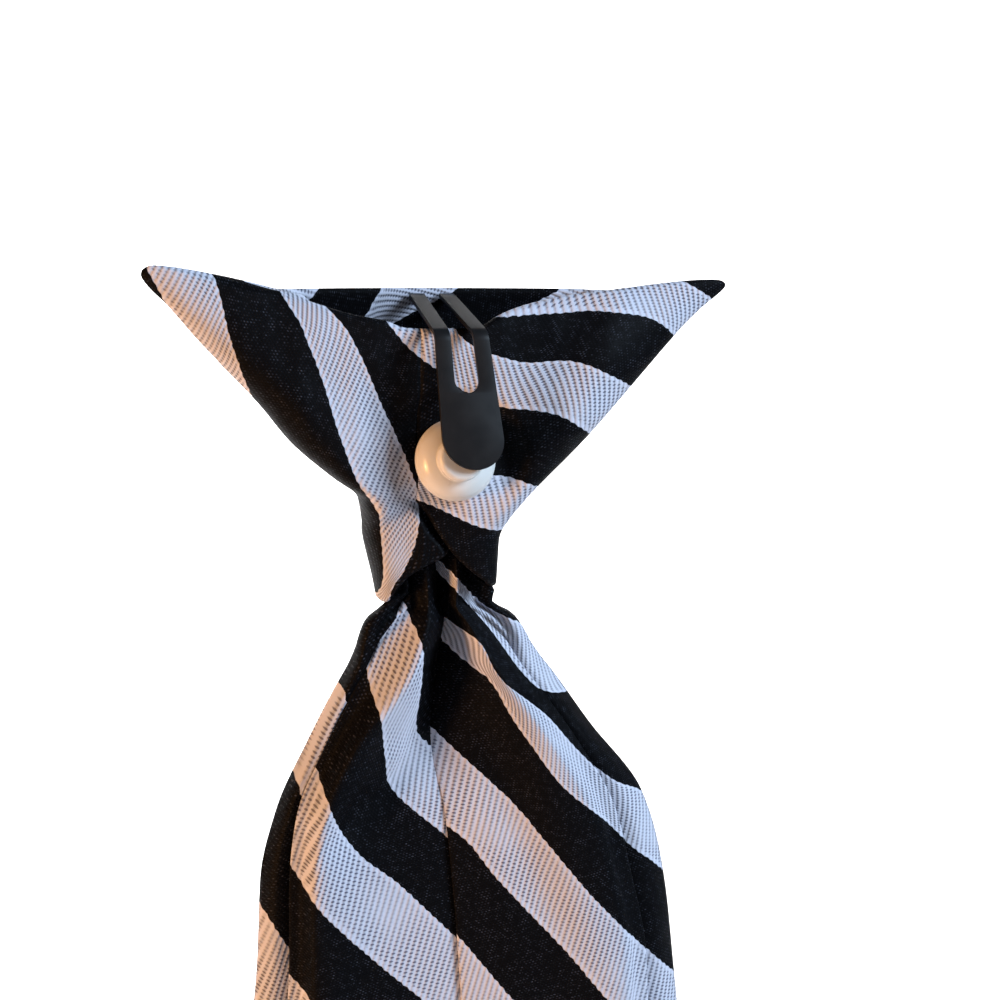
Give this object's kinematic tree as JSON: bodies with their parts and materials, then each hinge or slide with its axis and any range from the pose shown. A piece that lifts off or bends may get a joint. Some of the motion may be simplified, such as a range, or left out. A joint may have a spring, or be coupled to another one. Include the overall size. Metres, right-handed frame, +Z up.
{
  "type": "clip-on necktie",
  "caption": "Pre-tied striped necktie with a hollow wrapped knot, a folded pointed blade and a slotted steel clip with a knob that grips a shirt collar.",
  "frame": {"origin": "underside of the bend in the clip, in the middle, where the edge of the shirt collar seats", "axes": "+Z up as worn, +Y towards the public front, -Y towards the wearer, where the clip is, +X to the right seen from the back"},
  "size_m": [0.088, 0.0196, 0.4877],
  "materials": {
    "striped_twill": "matt twill, wide black and pale grey diagonal stripes",
    "black_lacquered_steel": "satin black lacquer",
    "milky_plastic": "translucent white, semi-gloss"
  },
  "bodies": {
    "root": {"knot_wrap": "striped_twill", "blade": "striped_twill", "collar_clip_strip": "black_lacquered_steel", "clip_knob": "milky_plastic"}
  },
  "joints": []
}
